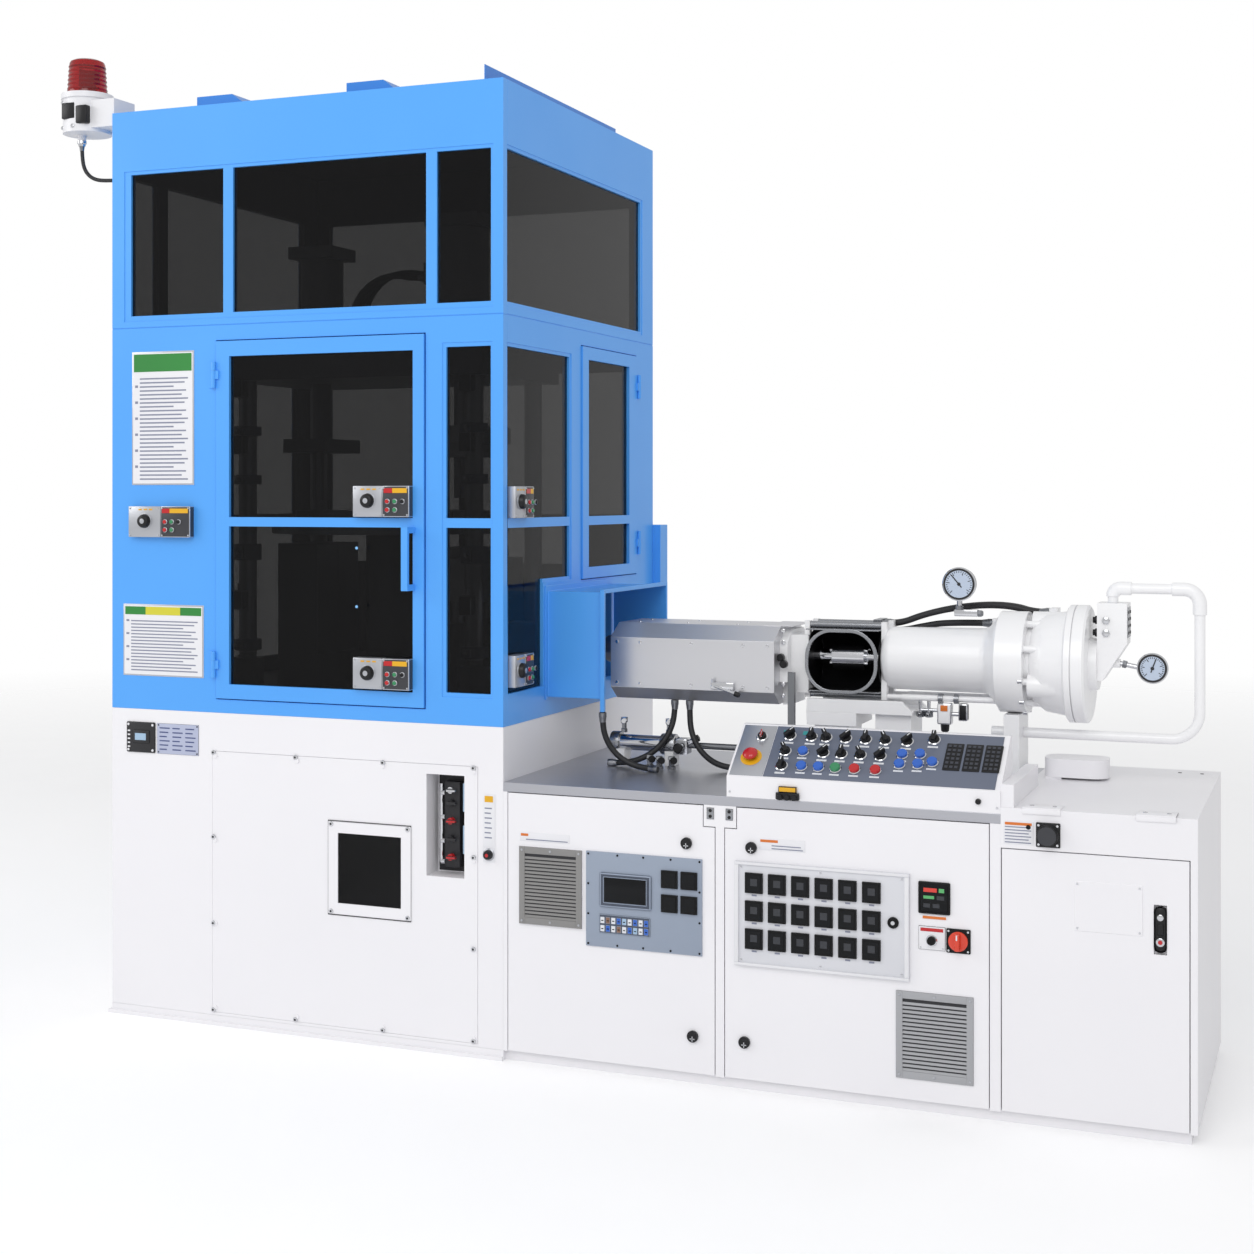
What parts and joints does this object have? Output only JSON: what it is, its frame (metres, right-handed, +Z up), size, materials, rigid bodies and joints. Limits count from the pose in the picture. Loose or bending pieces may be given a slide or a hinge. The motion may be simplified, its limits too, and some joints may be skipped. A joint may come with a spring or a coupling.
{
  "type": "blow moulding machine",
  "caption": "Injection stretch blow moulding machine: glazed guard tower on a base beside a horizontal injection unit on electrical cabinets with a sloping console.",
  "frame": {"origin": "on the floor under the barrel centreline, where the tower meets the injection side", "axes": "+X along the machine from the tower to the injection unit, +Y away from the operator, +Z up"},
  "size_m": [3.958, 1.51, 3.416],
  "materials": {
    "white_paint": "semi-gloss",
    "blue_paint": "semi-gloss",
    "dark_paint": "satin",
    "pane": "clear tinted",
    "stainless": "brushed",
    "chrome": "polished",
    "machined_steel": "ground",
    "grey_panel": "satin",
    "black_plastic": "satin",
    "red_dome": "clear",
    "red_plastic": "gloss",
    "black_hose": "satin",
    "grey_plastic": "satin"
  },
  "bodies": {
    "machine": {"base_frame": "white_paint", "base_casing": "white_paint", "service_panel": "white_paint", "guard_lower_front": "blue_paint", "guard_lower_right": "blue_paint", "guard_upper_front": "blue_paint", "guard_upper_right": "blue_paint", "guard_left": "blue_paint", "guard_rear": "blue_paint", "fixed_panes": "pane", "roof": "blue_paint", "hinge_leaves": "blue_paint", "barrel_guard": "blue_paint", "tower_devices": "black_plastic", "beacon_base": "grey_plastic", "beacon_dome": "red_dome", "beacon_cable": "black_hose", "clamp_frame": "machined_steel", "tower_hoses": "black_hose", "cabinet_shell": "white_paint", "cabinet_right": "white_paint", "worktop": "stainless", "console_body": "white_paint", "console_controls": "grey_panel", "injection_bed": "white_paint", "lower_conduits": "black_hose"},
    "front_door": {"front_door": "blue_paint", "front_door_panes": "pane", "front_door_switches": "black_plastic"},
    "side_door": {"side_door": "blue_paint", "side_door_panes": "pane"},
    "cabinet_door_1": {"cabinet_door_1": "white_paint", "control_panel": "grey_panel"},
    "cabinet_door_2": {"cabinet_door_2": "white_paint", "door_instruments": "black_plastic"},
    "cabinet_door_3": {"cabinet_door_3": "white_paint"},
    "temperature_panel": {"temperature_panel": "grey_panel"},
    "main_switch_knob": {"main_switch_knob": "red_plastic"},
    "latch_handle": {"latch_handle": "chrome"},
    "emergency_stop": {"emergency_stop": "red_plastic"},
    "door_latch_1": {"door_latch_1": "black_plastic"},
    "door_latch_2": {"door_latch_2": "black_plastic"},
    "door_latch_3": {"door_latch_3": "black_plastic"},
    "door_latch_4": {"door_latch_4": "black_plastic"},
    "beacon_rotor": {"beacon_rotor": "chrome"},
    "turntable": {"turntable": "machined_steel"},
    "cavity_platen": {"cavity_platen": "machined_steel"},
    "core_platen": {"core_platen": "machined_steel"},
    "stretch_unit": {"stretch_unit": "machined_steel"},
    "blow_mould_front": {"blow_mould_front": "machined_steel"},
    "blow_mould_rear": {"blow_mould_rear": "machined_steel"},
    "carriage": {"barrel": "machined_steel", "heater_cover": "stainless", "feed_block": "white_paint", "coupling_guard": "stainless", "drive_unit": "white_paint", "gauges": "chrome", "pipe": "white_paint", "arch_hoses": "black_hose"},
    "screw_shaft": {"screw_shaft": "chrome"}
  },
  "joints": [
    {"name": "front_door_hinge", "type": "hinge", "parent": "machine", "child": "front_door", "pos_m": [-1.106, -0.662, 1.755], "axis": [0, 0, 1], "range_deg": [-110, 0]},
    {"name": "side_door_hinge", "type": "hinge", "parent": "machine", "child": "side_door", "pos_m": [0.012, 0.543, 1.957], "axis": [0, 0, 1], "range_deg": [0, 110]},
    {"name": "cabinet_door_1_hinge", "type": "hinge", "parent": "machine", "child": "cabinet_door_1", "pos_m": [0.0165, -0.6515, 0.45], "axis": [0, 0, 1], "range_deg": [-110, 0]},
    {"name": "cabinet_door_2_hinge", "type": "hinge", "parent": "machine", "child": "cabinet_door_2", "pos_m": [1.5775, -0.6515, 0.45], "axis": [0, 0, 1], "range_deg": [0, 110]},
    {"name": "cabinet_door_3_hinge", "type": "hinge", "parent": "machine", "child": "cabinet_door_3", "pos_m": [1.6125, -0.6515, 0.42], "axis": [0, 0, 1], "range_deg": [-110, 0]},
    {"name": "temperature_panel_hinge", "type": "hinge", "parent": "cabinet_door_2", "child": "temperature_panel", "pos_m": [0.794, -0.6643, 0.55], "axis": [0, 0, 1], "range_deg": [-100, 0]},
    {"name": "door_latch_1_turn", "type": "hinge", "parent": "cabinet_door_1", "child": "door_latch_1", "pos_m": [0.634, -0.65, 0.752], "axis": [0, 1, 0], "range_deg": [0, 90]},
    {"name": "door_latch_2_turn", "type": "hinge", "parent": "cabinet_door_1", "child": "door_latch_2", "pos_m": [0.655, -0.65, 0.151], "axis": [0, 1, 0], "range_deg": [0, 90]},
    {"name": "door_latch_3_turn", "type": "hinge", "parent": "cabinet_door_2", "child": "door_latch_3", "pos_m": [0.846, -0.65, 0.753], "axis": [0, 1, 0], "range_deg": [0, 90]},
    {"name": "door_latch_4_turn", "type": "hinge", "parent": "cabinet_door_2", "child": "door_latch_4", "pos_m": [0.824, -0.65, 0.151], "axis": [0, 1, 0], "range_deg": [0, 90]},
    {"name": "main_switch_turn", "type": "hinge", "parent": "cabinet_door_2", "child": "main_switch_knob", "pos_m": [1.487, -0.65, 0.522], "axis": [0, 1, 0], "range_deg": [0, 90]},
    {"name": "latch_handle_pivot", "type": "hinge", "parent": "cabinet_door_3", "child": "latch_handle", "pos_m": [2.062, -0.645, 0.548], "axis": [1, 0, 0], "range_deg": [0, 60]},
    {"name": "emergency_stop_press", "type": "slide", "parent": "machine", "child": "emergency_stop", "axis": [0, 0.6301, -0.7765], "range_m": [0, 0.006]},
    {"name": "beacon_spin", "type": "hinge", "parent": "machine", "child": "beacon_rotor", "pos_m": [-1.702, -0.58, 3.32], "axis": [0, 0, 1], "continuous": true},
    {"name": "turntable_turn", "type": "hinge", "parent": "machine", "child": "turntable", "pos_m": [-0.77, 0, 1.7], "axis": [0, 0, 1], "continuous": true},
    {"name": "cavity_lift", "type": "slide", "parent": "machine", "child": "cavity_platen", "axis": [0, 0, 1], "range_m": [0, 0.045]},
    {"name": "core_stroke", "type": "slide", "parent": "machine", "child": "core_platen", "axis": [0, 0, 1], "range_m": [-0.1, 0]},
    {"name": "stretch_stroke", "type": "slide", "parent": "machine", "child": "stretch_unit", "axis": [0, 0, 1], "range_m": [-0.1, 0]},
    {"name": "blow_mould_front_open", "type": "slide", "parent": "machine", "child": "blow_mould_front", "axis": [0, -1, 0], "range_m": [0, 0.12]},
    {"name": "blow_mould_rear_open", "type": "slide", "parent": "machine", "child": "blow_mould_rear", "axis": [0, 1, 0], "range_m": [0, 0.12]},
    {"name": "carriage_travel", "type": "slide", "parent": "machine", "child": "carriage", "axis": [1, 0, 0], "range_m": [0, 0.06]},
    {"name": "screw_turn", "type": "hinge", "parent": "carriage", "child": "screw_shaft", "pos_m": [1, 0, 1.295], "axis": [1, 0, 0], "continuous": true}
  ]
}
